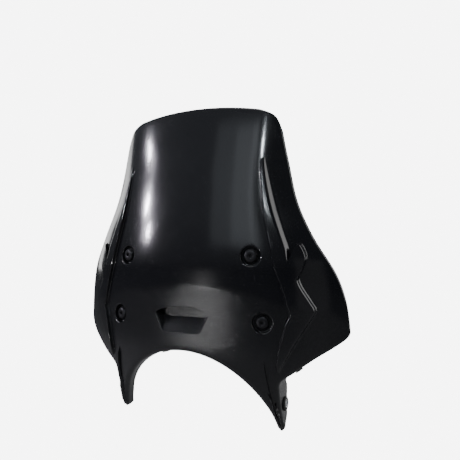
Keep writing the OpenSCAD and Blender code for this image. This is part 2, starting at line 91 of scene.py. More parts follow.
leg_tip_h, heel_out, tip_gap = 4.5, 1.5, 0.8
arch_end = math.acos((leg_tip_h - leg_drop - arch_z) / arch_r)
arch_foot = Vector((arch_r * math.sin(arch_end), arch_z + arch_r * math.cos(arch_end)))
leg_heel = Vector((leg_hw + heel_out, arch_foot.y + 0.5))
leg_foot = [arch_foot, ((arch_foot.x + leg_heel.x) / 2, -leg_drop), leg_heel]
leg_side = [leg_heel, (leg_hw, -13), (leg_hw, 13), (leg_hw + 2, 30), (leg_hw + 17, 42)]
wing_foot = [
    (leg_hw + 17, 42), (leg_hw + 38, 57.5), (wing_hw - 15, wing_z - 15.5), (wing_hw - 4, wing_z - 7),
    (wing_hw, wing_z),
]
top_edge = [(t / 4 * (top_hw - corner_r), top_z - crown * (t / 4) ** 2) for t in range(5)]
corner = [
    (top_hw - corner_r, top_z - crown),
    (top_hw - corner_r * 0.38, top_z - crown - corner_r * 0.3),
    (top_hw - 2, top_z - crown - corner_r * 0.98),
]
side_edge = [
    corner[-1], (waist_hw, 298), (waist_hw + 12, 247), (wing_hw - 39, 202), (wing_hw - 15, 160),
    (wing_hw - 4, 125), (wing_hw, wing_z + tip_gap),
]
# Both outlines are numbered by u. Each ends a stretch at these: arch, leg tip, leg and wing. While u
# goes along the arch and the leg tip, the upper outline goes along these shares of the top edge.
arch_to, tip_to, leg_to, last = 12, 15, 21, 29
arch_share, tip_share = 0.82, 0.92


def foot_at(u):
    """The lower outline at u: along the arch, round the leg tip, up the leg and out to the wing."""
    if u <= arch_to:
        turn = u / arch_to * arch_end
        return Vector((arch_r * math.sin(turn), arch_z + arch_r * math.cos(turn)))
    if u <= tip_to:
        return curve(leg_foot, (u - arch_to) / (tip_to - arch_to))
    if u <= leg_to:
        return curve(leg_side, (u - tip_to) / (leg_to - tip_to))
    return curve(wing_foot, (u - leg_to) / (last - leg_to))


def head_at(u):
    """The upper outline at u: along the top, round the corner and down the side."""
    if u <= arch_to:
        along = u / arch_to * arch_share
    elif u <= tip_to:
        along = arch_share + (u - arch_to) / (tip_to - arch_to) * (tip_share - arch_share)
    elif u <= leg_to:
        along = tip_share + (u - tip_to) / (leg_to - tip_to) * (2 - tip_share)
    else:
        along = 2 + (u - leg_to) / (last - leg_to)
    if along < 1:
        return curve(top_edge, along)
    return curve(corner, along - 1) if along < 2 else curve(side_edge, along - 2)


def square_out(line, u, side):
    """Direction square to one outline at u, pointing out of the screen."""
    before = line(abs(u - 1))
    if u < 1:
        before.x = -before.x
    t = (line(min(u + 1, last)) - before).normalized()
    return Vector((side * t.y, -side * t.x))


def outward(line, u, side):
    """As square_out, but the two outlines meet at the wing tip, where both turn the same way."""
    own = square_out(line, u, side)
    if u <= last - 1:
        return own
    tip = (square_out(foot_at, last, 1) + square_out(head_at, last, -1)).normalized()
    return own.lerp(tip, u - last + 1).normalized()


def slope(p, n, reach=3):
    """How steeply the face runs back on its way to p, in the direction n."""
    return (face(*p) - face(*(p - reach * n))) / reach


def inset(p, n, r):
    """Where the smooth face stops, so that its rolled edge ends on the outline."""
    return p - n * r * (1 - math.sin(math.atan(slope(p, n))))


def rolled(p, n, r, back, turns, lip):
    """Points of a rolled edge from the face round to straight back, then of the lip behind it."""
    q = inset(p, n, r)
    s = slope(q, n)
    k = math.sqrt(1 + s * s)
    whole = math.pi / 2 - math.atan(s)
    along = Vector((n.x, s, n.y)) / k
    square = Vector((-s * n.x, 1, -s * n.y)) / k
    edge = []
    for f in range(1, turns + 1):
        turn = whole * f / turns
        edge.append(on_face(q) + r * (math.sin(turn) * along + (1 - math.cos(turn)) * square))
    return edge + [edge[-1] + Vector((0, back * f / lip, 0)) for f in range(1, lip + 1)]


# Where the back edge of a leg flange lies, and the heights at which it bends
flange_y, flange_foot_y, flange_fade = 8.0, -4.0, 1.1
flange_top_z, flange_low_z, flange_foot_z = 22.0, -15.0, -27.5


def lip_depth(u, y):
    """Depth of the flat lip behind the roll: even round the arch, deep on a leg, fading up a wing."""
    if u <= arch_to:
        return arch_lip
    if u <= tip_to:
        return arch_lip + (flange_foot_y - y - arch_lip) * (u - arch_to) / (tip_to - arch_to)
    if u >= leg_to:
        return wing_lip + (rim_lip - wing_lip) * (u - leg_to) / (last - leg_to)
    z = foot_at(u).y
    back = flange_y - max(0, z - flange_top_z) * flange_fade
    if z < flange_low_z:
        low = (z - flange_foot_z) / (flange_low_z - flange_foot_z)
        back = flange_foot_y + (flange_y - flange_foot_y) * low
    return max(rim_lip, back - y)


leg_roll_share, wing_fade = 0.42, 3


def foot_roll(u):
    """Radius of the lower rolled edge, tighter where a leg is narrow."""
    if u >= leg_to:
        return arch_roll + (rim_roll - arch_roll) * min(1, (u - leg_to) / wing_fade)
    z = foot_at(u).y
    width = leg_heel.x - math.sqrt(arch_r**2 - min(arch_r, z - arch_z) ** 2)
    return min(arch_roll, leg_roll_share * width)


# Steps of the mesh, and how far the lines that start from a leg bend inwards, to stay inside the leg
face_rows, roll_steps, lip_steps, rim_steps = 66, 6, 4, 5
leg_bend, leg_bend_span = 0.25, 6


def screen_column(u):
    """One line of points over the screen, from the back of the lower lip up to the rim lip."""
    foot, head = foot_at(u), head_at(u)
    nf, nh = outward(foot_at, u, 1), outward(head_at, u, -1)
    r = foot_roll(u)
    a, b = inset(foot, nf, r), inset(head, nh, rim_roll)
    y = rolled(foot, nf, r, 0, roll_steps, 1)[-1].y
    bend = 1 - leg_bend * max(0, 1 - abs(u - tip_to) / leg_bend_span)
    sheet = [
        on_face((a.x + (b.x - a.x) * (j / face_rows) ** bend, a.y + (b.y - a.y) * j / face_rows))
        for j in range(face_rows + 1)
    ]
    low = rolled(foot, nf, r, lip_depth(u, y), roll_steps, lip_steps)
    return low[::-1] + sheet + rolled(head, nh, rim_roll, rim_lip, rim_steps, 2)


def alone(piece):
    """Makes piece the only selected object."""
    bpy.ops.object.select_all(action="DESELECT")
    piece.select_set(True)
    bpy.context.view_layer.objects.active = piece


def shaped_grid(name, across, along, place):
    """A flat grid of quads, with each corner (i, j) then moved to place(i, j), in millimetres."""
    bpy.ops.object.select_all(action="DESELECT")
    bpy.ops.mesh.primitive_grid_add(x_subdivisions=across, y_subdivisions=along, size=2)
    piece = bpy.context.object
    piece.name = piece.data.name = name
    for v in piece.data.vertices:
        v.co = place(round((v.co.x + 1) / 2 * across), round((v.co.y + 1) / 2 * along)) * MM
    return piece


# Points nearer than this are joined
weld = 0.001


def skinned(name, rings):
    """A closed piece over rings of points, with capped ends unless the last ring is the first."""
    n = len(rings[0])
    piece = shaped_grid(name, n, len(rings) - 1, lambda i, j: rings[j][i % n])
    alone(piece)
    bpy.ops.object.mode_set(mode="EDIT")
    bpy.ops.mesh.select_all(action="SELECT")
    bpy.ops.mesh.remove_doubles(threshold=weld * MM)
    bpy.ops.mesh.select_all(action="SELECT")
    bpy.ops.mesh.fill_holes(sides=0)
    bpy.ops.mesh.select_all(action="SELECT")
    bpy.ops.mesh.normals_make_consistent(inside=False)
    bpy.ops.object.mode_set(mode="OBJECT")
    return piece


def apply(piece, kind, **settings):
    """Adds a modifier with these settings and applies it."""
    alone(piece)
    modifier = piece.modifiers.new(kind.title(), kind)
    for key, value in settings.items():
        setattr(modifier, key, value)
    bpy.ops.object.modifier_apply(modifier=modifier.name)


def joined(name, pieces):
    """Several pieces as one object."""
    alone(pieces[0])
    for piece in pieces:
        piece.select_set(True)
    bpy.ops.object.join()
    pieces[0].name = pieces[0].data.name = name
    return pieces[0]


def mirrored(piece):
    """The same piece for the right-hand side."""
    other = piece.copy()
    other.data = piece.data.copy()
    bpy.context.scene.collection.objects.link(other)
    other.data.transform(Matrix.Scale(-1, 4, (1, 0, 0)))
    other.data.flip_normals()
    return other


def smooth(piece, degrees=32):
    """Shades a piece smooth, apart from edges sharper than this."""
    alone(piece)
    bpy.ops.object.shade_smooth_by_angle(angle=math.radians(degrees))


fine = 4
half_columns = [screen_column(i / fine) for i in range(last * fine + 1)]


def screen_place(i, j):
    """Point j of column i, counted from the right wing tip to the left one."""
    side = i - last * fine
    p = half_columns[abs(side)][j]
    return Vector((math.copysign(p.x, side) if side else 0, p.y, p.z))


screen = shaped_grid("windshield_screen", 2 * last * fine, len(half_columns[0]) - 1, screen_place)
apply(screen, "SOLIDIFY", thickness=wall * MM, offset=-1)

# The raised side panel: rungs run across it from its head to its foot, each with its inner end, its
# outer end, its share of the rise and the width of its outer slope.
panel_rise, panel_edge, panel_root, panel_bed = 5.0, 3.5, 4.0, 2.0
rungs = [
    ((95, 299), (99, 298), 0.2, 1), ((92.5, 290), (102, 286), 0.5, 2), ((95, 265), (108, 262), 0.8, 2),
    ((99, 232), (117, 233), 1, 2.2), ((104.5, 207), (125, 209), 1, 2), ((111, 180), (131, 190), 1, 1.6),
    ((118, 155), (132, 176), 1, 1), ((119.5, 151.5), (135, 181.5), 1, 1), ((121, 148), (139, 192), 1, 1),
    ((122, 145.5), (143, 195), 1, 1), ((122.5, 143), (150, 180), 1, 1), ((123, 140), (147, 165), 1, 1),
    ((125, 134), (143, 151), 1, 1), ((128, 121), (156, 126), 1, 1), ((131, 110), (160.5, 117), 1, 1),
    ((127, 100), (158, 109), 1, 1), ((121, 78), (141, 80), 1, 1), ((117, 58), (131, 62), 0.9, 1),
    ((115.5, 50), (124, 49), 0.7, 1), ((118, 43), (121, 43.5), 0.3, 1),
]
# How a panel edge rises: share of the edge width, and share of the rise
edge_profile = [(-0.35, -0.25), (0, -0.04), (0.22, 0.1), (0.42, 0.34), (0.6, 0.68), (0.8, 0.92), (1, 1)]
rung_steps, crest_steps = 6, 6


def panel_ring(t):
    """Section of the panel: over the top from the inner to the outer edge, and back under the face."""
    inner = curve([r[0] for r in rungs], t)
    outer = curve([r[1] for r in rungs], t)
    share, spread = curve([(r[2], r[3]) for r in rungs], t)
    width = (outer - inner).length
    along = (outer - inner) / width
    a, b = min(panel_edge, width / 2.4), min(panel_edge * spread, width / 2.1)
    rise = panel_rise * share
    top = [(a * s, rise * h if h > 0 else panel_root * h) for s, h in edge_profile]
    top += [(a + (width - a - b) * k / crest_steps, rise) for k in range(1, crest_steps)]
    top += [(width - b * s, rise * h if h > 0 else panel_root * h) for s, h in edge_profile[::-1]]
    bed = [on_face(inner + along * s, -panel_bed) for s, h in top[::-1]]
    return [on_face(inner + along * s, h) for s, h in top] + bed


steps = (len(rungs) - 1) * rung_steps
left_panel = skinned("panel", [panel_ring(k / steps) for k in range(steps + 1)])
additions = [left_panel, mirrored(left_panel)]

# The four fastener wells: each is turned in its own frame, whose Z runs outwards along the fastener
# from the well floor. A cup stands behind the wall round each well.
splay = math.radians(16)
well_depth, well_r, nut_r, push_fit = 6.6, 11.75, 6.35, 0.1
upper_seat, lower_seat = (88.5, 179.0), (102.0, 101.0)


def along_axis(x, z):
    """How far out a place on the face lies along a left-hand fastener's axis."""
    return x * math.sin(splay) - face(x, z) * math.cos(splay)


floor_d = min(along_axis(*upper_seat), along_axis(*lower_seat)) - well_depth


def seat_matrix(x, z):
    """Frame of a left-hand fastener, in millimetres."""
    along = face(x, z) * math.sin(splay) + x * math.cos(splay)
    return (
        Matrix.Translation((0, 0, z)) @ Matrix.Rotation(splay, 4, "Z")
        @ Matrix.Translation((along, -floor_d, 0)) @ Matrix.Rotation(math.pi / 2, 4, "X")
    )


def face_height(seat, a, b, rounds=6):
    """Height of the screen's face over the well floor plane, at (a, b) in the fastener's frame."""
    place = seat_matrix(*seat)
    h = well_depth
    for _ in range(rounds):
        p = place @ Vector((a, b, h))
        h += (p.y - face(p.x, p.z)) / math.cos(splay)
    return h


def turned_ring(r, h, seat=None, sides=64):
    """Points round a circle; with a seat, h is measured from the screen's face."""
    ring = []
    for k in range(sides):
        a, b = r * math.cos(k / sides * math.tau), r * math.sin(k / sides * math.tau)
        ring.append(Vector((a, b, h + (face_height(seat, a, b) if seat else 0))))
    return ring


def in_seat(piece, seat):
    """Moves a piece that was made in a fastener's frame to that fastener."""
    place = seat_matrix(*seat)
    place.translation *= MM
    piece.data.transform(place)
    return piece


# The rims of the wells and of the vent are turned through rim_turn degrees, a step at a time. A
# well's rim then runs out straight.
rim_turn, rim_step, rim_run = 75, 15, 2.5
well_rim, well_mouth, clear = 1.7, 3.0, 8.0


def turned_by(degrees):
    """Cosine and sine of an angle in degrees."""
    return math.cos(math.radians(degrees)), math.sin(math.radians(degrees))


cuts = []
for seat in (upper_seat, lower_seat):
    cup = [turned_ring(well_r + 2, -wall), turned_ring(well_r + wall, 1 - wall)]
    cup.append(turned_ring(well_r + wall, -wall / 2, seat))
    cup = in_seat(skinned("cup", cup), seat)
    additions += [cup, mirrored(cup)]
    well = [turned_ring(nut_r + push_fit, -wall - 1), turned_ring(nut_r + push_fit, 0)]
    well += [turned_ring(well_r - 1, 0), turned_ring(well_r - 0.3, 0.3), turned_ring(well_r, 1)]
    for turn in range(0, rim_turn + 1, rim_step):
        c, s = turned_by(turn)
        r, h = well_r + well_rim * (1 - c), well_rim * (s - 1)
        well.append(turned_ring(r, h, seat))
    well.append(turned_ring(r + rim_run * s, h + rim_run * c, seat))
    well.append(turned_ring(well_r + well_rim + well_mouth, clear, seat))
    well = in_seat(skinned("well", well), seat)
    cuts += [well, mirrored(well)]

# The vent: a scoop in the wall, with a ramp for its floor. It is open at its top, behind the wall, so
# that air leaves it upwards.
vent_top_hw, vent_foot_hw, vent_foot_z, vent_corner_z = 37.5, 26, 85.5, 108.5
vent_arch, vent_depth = 8, 14
vent_r = (vent_top_hw**2 + vent_arch**2) / (2 * vent_arch)
vent_turn = math.asin(vent_top_hw / vent_r)
ramp_share = 0.75


def rounded_corner(before, at, after, size):
    """Points of a corner that is turned smoothly, starting and ending size away from it."""
    a = at + (before - at).normalized() * size
    b = at + (after - at).normalized() * size
    return [a * (1 - t) ** 2 + at * 2 * t * (1 - t) + b * t * t for t in (0, 0.2, 0.4, 0.6, 0.8, 1)]


def vent_arc(turn):
    """A place on the arched top of the vent."""
    mid_z = vent_corner_z + vent_arch - vent_r
    return Vector((vent_r * math.sin(turn), mid_z + vent_r * math.cos(turn)))


foot_corner, top_corner = Vector((vent_foot_hw, vent_foot_z)), Vector((vent_top_hw, vent_corner_z))
foot_mid = Vector((0, vent_foot_z))
vent_half = [foot_mid + (foot_corner - foot_mid) * k / 6 for k in range(1, 6)]
vent_half += rounded_corner(foot_mid, foot_corner, top_corner, 4)
vent_half += [foot_corner.lerp(top_corner, k) for k in (0.35, 0.5, 0.65)]
vent_half += rounded_corner(foot_corner, top_corner, vent_arc(vent_turn * 0.8), 3)
vent_half += [vent_arc(vent_turn * k / 10) for k in range(8, 0, -1)]
vent_line = [foot_mid] + vent_half + [vent_arc(0)] + [Vector((-p.x, p.y)) for p in vent_half[::-1]]


def vent_ring(grow, depth, ramp):
    """Ring of the vent, grown outwards, at a depth behind the face; ramp lifts its floor, 0 to 1."""
    ring = []
    for k, p in enumerate(vent_line):
        t = (vent_line[(k + 1) % len(vent_line)] - vent_line[k - 1]).normalized()
        q = p + Vector((t.y, -t.x)) * grow
        if q.y < vent_corner_z:
            q.y = vent_corner_z - (vent_corner_z - q.y) * (1 - ramp_share * ramp)
        ring.append(on_face(q, -depth))
    return ring


vent_rim, scoop_wall, scoop_from, scoop_steps, hollow_steps = 1.5, 2.4, 2, 5, 8
scoop = [vent_ring(scoop_wall, wall / 2, 0)]
for k in range(scoop_steps + 1):
    share = k / scoop_steps
    scoop.append(vent_ring(scoop_wall, scoop_from + (vent_depth - scoop_from) * share, share))
scoop += [vent_ring(scoop_wall - 0.6, vent_depth + scoop_wall - 0.4, 1)]
scoop += [vent_ring(scoop_wall - 1.4, vent_depth + scoop_wall, 1)]
additions.append(skinned("vent_scoop", scoop))
hollow = [vent_ring(vent_rim + 3, -6, 0), vent_ring(vent_rim * 0.74 + 2.4, -0.65, 0)]
for turn in range(rim_turn, -1, -rim_step):
    c, s = turned_by(turn)
    hollow.append(vent_ring(vent_rim * (1 - c), vent_rim * (1 - s), 0))
for k in range(1, hollow_steps + 1):
    share = k / hollow_steps
    hollow.append(vent_ring(0, vent_rim + (vent_depth - vent_rim) * share, share))
cuts.append(skinned("vent_hollow", hollow))
mouth_hw, mouth_turn, mouth_drop, mouth_h = vent_top_hw - 8, 2, 2, 30
mouth_front, mouth_back = face(mouth_hw, vent_corner_z) + wall + 0.5, vent_depth - face_y
mouth_line = []
for turn in range(15, 360, 30):
    c, s = turned_by(turn)
    x = math.copysign(mouth_hw - mouth_turn, c) + mouth_turn * c
    y = (mouth_front + mouth_turn if s < 0 else mouth_back - mouth_turn) + mouth_turn * s
    mouth_line.append(Vector((x, y, 0)))
mouth = skinned("vent_mouth", [
    [p + Vector((0, 0, vent_corner_z + rise)) for p in mouth_line] for rise in (-mouth_drop, mouth_h)
])

# The hole through each leg flange for its grommet.
neck_r, hole_from, hole_to = 6.2, -4, 14
pivot_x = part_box("left_leg_grommet")[0][0] / MM
hole = skinned("leg_hole", [
    [Vector((pivot_x + s, p.x, p.y)) for p in turned_ring(neck_r + push_fit, 0)]
    for s in (hole_from, hole_to)
])
cuts += [hole, mirrored(hole)]

additions = joined("additions", additions)
cuts = joined("cuts", cuts)
apply(screen, "BOOLEAN", operation="UNION", solver="MANIFOLD", object=additions)
apply(screen, "BOOLEAN", operation="DIFFERENCE", solver="MANIFOLD", object=cuts)
apply(screen, "BOOLEAN", operation="DIFFERENCE", solver="MANIFOLD", object=mouth)
for tool in (additions, cuts, mouth):
    bpy.data.objects.remove(tool, do_unlink=True)
smooth(screen)
apply(screen, "WEIGHTED_NORMAL", keep_sharp=True, weight=50)


class Value:
    """A value socket that can stand in a sum: each operator adds its Math node."""

    def __init__(self, paint, socket):
        self.paint, self.socket = paint, socket

    def maths(self, operation, a, b):
        return self.paint.node("Math", {"operation": operation}, {0: a, 1: b})

    def __add__(self, other):
        return self.maths("ADD", self, other)

    def __sub__(self, other):
        return self.maths("SUBTRACT", self, other)

    def __rsub__(self, other):
        return self.maths("SUBTRACT", other, self)

    def __mul__(self, other):
        return self.maths("MULTIPLY", self, other)

    def __pow__(self, other):
        return self.maths("POWER", self, other)

    __radd__, __rmul__ = __add__, __mul__


class Paint:
    """A procedural material: uniform values are set on the shader, and fields are linked to it."""

    def __init__(self, name, **uniform):
        self.material = bpy.data.materials.new(name)
        self.material.use_nodes = True
        self.tree = self.material.node_tree
        self.shader = self.tree.nodes["Principled BSDF"]
        for key, value in uniform.items():
            self.shader.inputs[key.replace("_", " ")].default_value = value
        self.place = self.node("TexCoord", out="Object")

    def plug(self, socket, value):
        if isinstance(value, Value):
            self.tree.links.new(value.socket, socket)
        else:
            socket.default_value = value

    def node(self, kind, settings=None, inputs=None, out=0):
        """Adds a node: its settings first, then the values or links of its sockets."""
        new = self.tree.nodes.new("ShaderNode" + kind)
        for key, value in (settings or {}).items():
            setattr(new, key, value)
        for key, value in (inputs or {}).items():
            self.plug(new.inputs[key], value)
        return Value(self, new.outputs[out])

    def axis(self, name):
        return self.node("SeparateXYZ", inputs={0: self.place}, out=name)

    def noise(self, scale, detail=2.0, roughness=0.5, at=None):
        """A cloudy field from 0 to 1."""
        inputs = {"Vector": at or self.place, "Scale": scale, "Detail": detail, "Roughness": roughness}
        return self.node("TexNoise", inputs=inputs)

    def cells(self, scale):
        """Distance from the middles of scattered cells."""
        return self.node("TexVoronoi", inputs={"Vector": self.place, "Scale": scale}, out="Distance")

    def band(self, value, low, high):
        """Goes smoothly from 0 to 1 as value goes from low to high."""
        settings = {"interpolation_type": "SMOOTHSTEP"}
        return self.node("MapRange", settings, {0: value, 1: low, 2: high})

    def mix(self, factor, a, b):
        """A colour between a and b."""
        return self.node("Mix", {"data_type": "RGBA"}, {0: factor, 6: a, 7: b}, out=2)

    def bump(self, height, strength, distance, under=None):
        inputs = {"Height": height, "Strength": strength, "Distance": distance}
        if under:
            inputs["Normal"] = under
        return self.node("Bump", inputs=inputs)

    def finish(self, **fields):
        for key, value in fields.items():
            self.plug(self.shader.inputs[key.replace("_", " ")], value)
        return self.material


def dress(piece, material, slot, body, *nodes):
    """Gives a piece its material and its body, and hides the CAD nodes that it stands for; slot is not
    used.
    """
    piece.data.materials.clear()
    piece.data.materials.append(material)
    if nodes:
        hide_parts(*nodes)
    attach(piece, body)


# Moulded ABS: polished above the lower fasteners, and fine mould grain below and behind. The polish
# has a faint waviness, hair scratches and a little dust, and the grain glints.
abs_paint = Paint("moulded_abs", Specular_IOR_Level=0.5, IOR=1.5)
height = abs_paint.axis("Z")
wander = abs_paint.noise(14, 3) * 0.02 - 0.01
beside = abs_paint.axis("X") ** 2
polish = abs_paint.band(height + wander + beside * 1.1, 0.134, 0.15)
dust = abs_paint.band(abs_paint.noise(900, 3, 0.7), 0.63, 0.75)
streaks = abs_paint.node("Mapping", inputs={"Vector": abs_paint.place, "Scale": (1, 1, 0.12)})
hairs = abs_paint.band(abs_paint.noise(420, 2, 0.6, streaks), 0.66, 0.76)
film = abs_paint.noise(22, 4, 0.6)
grain = abs_paint.noise(1500, 2, 0.65)
fleck = abs_paint.cells(1100.0)
shade = abs_paint.mix(film, (0.0052, 0.0054, 0.0068, 1), (0.0086, 0.0088, 0.0104, 1))
shade = abs_paint.mix((1 - polish) * 0.6, shade, (0.0085, 0.0086, 0.0094, 1))
shade = abs_paint.mix(dust * 0.22, shade, (0.11, 0.11, 0.115, 1))
gloss_rough = 0.1 + film * 0.07 + dust * 0.25 + hairs * 0.12
grain_rough = 0.15 + grain * 0.1
rough = polish * gloss_rough + (1 - polish) * grain_rough
wave = abs_paint.bump(abs_paint.noise(16, 1), 0.25, 0.002)
relief = (grain * 0.6 + fleck * 0.6) * (1 - polish)
surface = abs_paint.bump(relief, 0.5, 0.0003, wave)
abs_paint.finish(Base_Color=shade, Roughness=rough, Normal=surface)
dress(screen, abs_paint.material, "moulded_abs", "screen", "screen_shell")

# ==== The four bolts =================================================================================
# Button-head steel screws, blacked with zinc: a domed head with a hexagon key hole, turned from bar,
# and a rolled thread that pulls the brass insert of its well nut.

head_r, head_h, bolt_r, bolt_len = 8.0, 3.4, 2.95, 18.0
key_af, key_depth, nut_flange_t, washer_t = 4.0, 2.2, 1.8, 1.2
under_head = nut_flange_t + washer_t
bolt_sides = 48


def hexagon_ring(across, h):
    """Points round a hexagon, given by its width across the flats."""
    ring = []
    for p in turned_ring(1, h, sides=bolt_sides):
        turn = (math.atan2(p.y, p.x) % (math.pi / 3)) - math.pi / 6
        ring.append(Vector((p.x, p.y, 0)) * across / 2 / math.cos(turn) + Vector((0, 0, h)))
    return ring


# Of the thread: its pitch, its depth, and the rings in each millimetre
pitch, thread_cut, ring_rate = 1.0, 0.45, 8


def thread_ring(h):
    """Ring of a rolled thread: its depth runs round with the height."""
    ring = []
    for k in range(bolt_sides):
        phase = (h / pitch + k / bolt_sides) % 1
        r = bolt_r - thread_cut * min(1, abs(2 * phase - 1) * 1.25)
        turn = k / bolt_sides * math.tau
        ring.append(Vector((r * math.cos(turn), r * math.sin(turn), h)))
    return ring


head_section = [
    (head_r - 2.6, head_h), (head_r - 1.6, head_h - 0.3), (head_r - 0.8, head_h - 0.85),
    (head_r - 0.25, head_h - 1.55), (head_r, head_h - 2.2), (head_r, 0.3), (head_r - 0.3, 0),
    (bolt_r + 0.4, 0), (bolt_r, -0.4),
]
head_top = under_head + head_h
bolt = [hexagon_ring(key_af, head_top - key_depth), hexagon_ring(key_af, head_top - 0.35)]
bolt += [turned_ring(key_af / 2 + 0.75, head_top, sides=bolt_sides)]
bolt += [turned_ring(r, under_head + h, sides=bolt_sides) for r, h in head_section]
thread_top, thread_foot = -nut_flange_t - 5, under_head - bolt_len + 0.9
bolt += [turned_ring(bolt_r, thread_top + 0.3, sides=bolt_sides)]
thread_rings = int((thread_top - thread_foot) * ring_rate)
bolt += [thread_ring(thread_top - k / ring_rate) for k in range(thread_rings + 1)]
bolt += [turned_ring(bolt_r - 0.5, thread_foot - 0.2, sides=bolt_sides)]
bolt += [turned_ring(bolt_r - 1, under_head - bolt_len, sides=bolt_sides)]

# Blacked steel: smeared and specked, with brighter metal in rubbed patches.
steel = Paint("blacked_steel", Metallic=0.75)
smear = steel.noise(180, 4, 0.65)
speck = steel.noise(1400, 2, 0.6)
rubbed = steel.band(steel.noise(520, 3, 0.6), 0.62, 0.74)
steel_shade = steel.mix(smear, (0.012, 0.012, 0.0135, 1), (0.03, 0.03, 0.033, 1))
steel_shade = steel.mix(rubbed * 0.35, steel_shade, (0.16, 0.16, 0.17, 1))
steel_relief = steel.bump(smear * 0.5 + speck * 0.5, 0.35, 0.0002)
steel.finish(Base_Color=steel_shade, Roughness=0.3 + smear * 0.2 - rubbed * 0.08, Normal=steel_relief)

# ==== The four nylon washers =========================================================================
# Punched from black nylon sheet: they spread the load of each bolt head over the soft flange below.

washer_r, hole_r = head_r - 0.4, bolt_r + 0.3
washer_section = [
    (hole_r + 0.15, 0), (washer_r - 0.25, 0), (washer_r, 0.25), (washer_r, washer_t - 0.35),
    (washer_r - 0.35, washer_t), (hole_r + 0.15, washer_t), (hole_r, washer_t - 0.15), (hole_r, 0.15),
    (hole_r + 0.15, 0),
]
washer = [turned_ring(r, nut_flange_t + h) for r, h in washer_section]
nylon = Paint("nylon", Specular_IOR_Level=0.45)
nylon_cloud = nylon.noise(260, 3)
nylon_grain = nylon.noise(1700, 2, 0.6)
nylon_shade = nylon.mix(nylon_cloud, (0.010, 0.010, 0.011, 1), (0.018, 0.018, 0.019, 1))
nylon_relief = nylon.bump(nylon_grain, 0.4, 0.00015)
nylon.finish(Base_Color=nylon_shade, Roughness=0.42 + nylon_grain * 0.15, Normal=nylon_relief)

# ==== The four well nuts =============================================================================
# Moulded rubber: a flange on the well floor, a neck through the wall and the stay, and a fluted body
# that swells behind them as its insert is drawn up.

nut_len, insert_r, insert_len = 15.0, 4.6, 8.0


round_sides = 84


def fluted_ring(r, h, depth=0.28, flutes=14):
    """Ring with shallow grooves round it, like a knurl."""
    ring = []
    for k in range(round_sides):
        turn = k / round_sides * math.tau
        rr = r - depth * (0.5 - 0.5 * math.cos(turn * flutes))
        ring.append(Vector((rr * math.cos(turn), rr * math.sin(turn), h)))
    return ring


def round_ring(r, h):
    """Plain ring with as many points as a fluted one."""
    return turned_ring(r, h, sides=round_sides)


flange_r = head_r + 0.6
well_nut = [round_ring(hole_r, nut_flange_t), round_ring(flange_r - 0.5, nut_flange_t)]
well_nut += [round_ring(flange_r - 0.1, nut_flange_t - 0.25), round_ring(flange_r, nut_flange_t / 2)]
well_nut += [round_ring(flange_r - 0.1, 0.2), round_ring(flange_r - 0.5, 0), round_ring(nut_r, 0)]
well_nut += [round_ring(nut_r, -wall - 3), round_ring(nut_r - 0.05, -wall - 3.4)]
well_nut += [fluted_ring(nut_r, -wall - 4), fluted_ring(nut_r, -nut_len + 1.2)]
well_nut += [round_ring(nut_r - 0.3, -nut_len + 0.8), round_ring(nut_r - 0.8, -nut_len)]
insert_top = insert_len - nut_len
well_nut += [round_ring(insert_r, -nut_len), round_ring(insert_r, insert_top)]
well_nut += [round_ring(hole_r, insert_top), round_ring(hole_r, nut_flange_t)]

# Black rubber: dull, with a bloom of pale wax in patches and a coarse mould grain.
rubber = Paint("soft_rubber", Specular_IOR_Level=0.3)
bloom = rubber.noise(120, 5, 0.7)
pores = rubber.cells(900.0)
rubber_shade = rubber.mix(bloom, (0.008, 0.008, 0.008, 1), (0.022, 0.022, 0.021, 1))
rubber_relief = rubber.bump(pores * 0.5 + bloom * 0.5, 0.45, 0.0003)
rubber.finish(Base_Color=rubber_shade, Roughness=0.62 + bloom * 0.25, Normal=rubber_relief)

# ==== The four brass inserts =========================================================================
# Turned and knurled brass, moulded into the well nuts: the bolt threads into them.

insert_bore, knurl_depth, knurl_teeth = bolt_r + 0.05, 0.2, 28
insert = [round_ring(insert_bore + 0.3, -nut_len), round_ring(insert_r - 0.35, -nut_len)]
for h in (-nut_len + 0.35, insert_top - 0.3):
    insert.append(fluted_ring(insert_r, h, knurl_depth, knurl_teeth))
insert += [round_ring(insert_r - 0.3, insert_top), round_ring(insert_bore, insert_top)]
insert += [round_ring(insert_bore, -nut_len + 0.3), round_ring(insert_bore + 0.3, -nut_len)]
brass = Paint("brass", Metallic=1.0)
tarnish = brass.noise(300, 4, 0.6)
lathe = brass.noise(2200, 1)
brass_shade = brass.mix(tarnish, (0.34, 0.22, 0.075, 1), (0.56, 0.38, 0.14, 1))
brass.finish(
    Base_Color=brass_shade, Roughness=0.24 + tarnish * 0.22, Normal=brass.bump(lathe, 0.25, 0.0001)
)

fittings = {
    "bolt": (bolt, steel.material, "bolt_steel"),
    "washer": (washer, nylon.material, "nylon"),
    "well_nut": (well_nut, rubber.material, "soft_rubber"),
    "insert": (insert, brass.material, "brass"),
}
for kind, (rings, material, slot) in fittings.items():
    master = skinned(kind, rings)
    smooth(master)
    for level, seat in (("upper", upper_seat), ("lower", lower_seat)):
        left = master.copy()
        left.data = master.data.copy()
        bpy.context.scene.collection.objects.link(left)
        in_seat(left, seat)
        right = mirrored(left)
        for side, piece in (("left", left), ("right", right)):
            node = f"{level}_{side}_{kind}"
            piece.name = piece.data.name = f"{node}_fitting"
            dress(piece, material, slot, "screen", node)
    bpy.data.objects.remove(master, do_unlink=True)

# ==== The rear stay ==================================================================================
# Sheet steel, 2.5 mm: two plates on the backs of the wells, two bowed bars and two drilled ears,
# welded, with broken edges and a black powder coat.


# Edges sharper than crease are rounded, and faces that lie within flat_within are joined, in degrees
crease, flat_within, bevel_steps, stay_soft, rubber_soft = 40, 2, 3, 0.4, 0.5


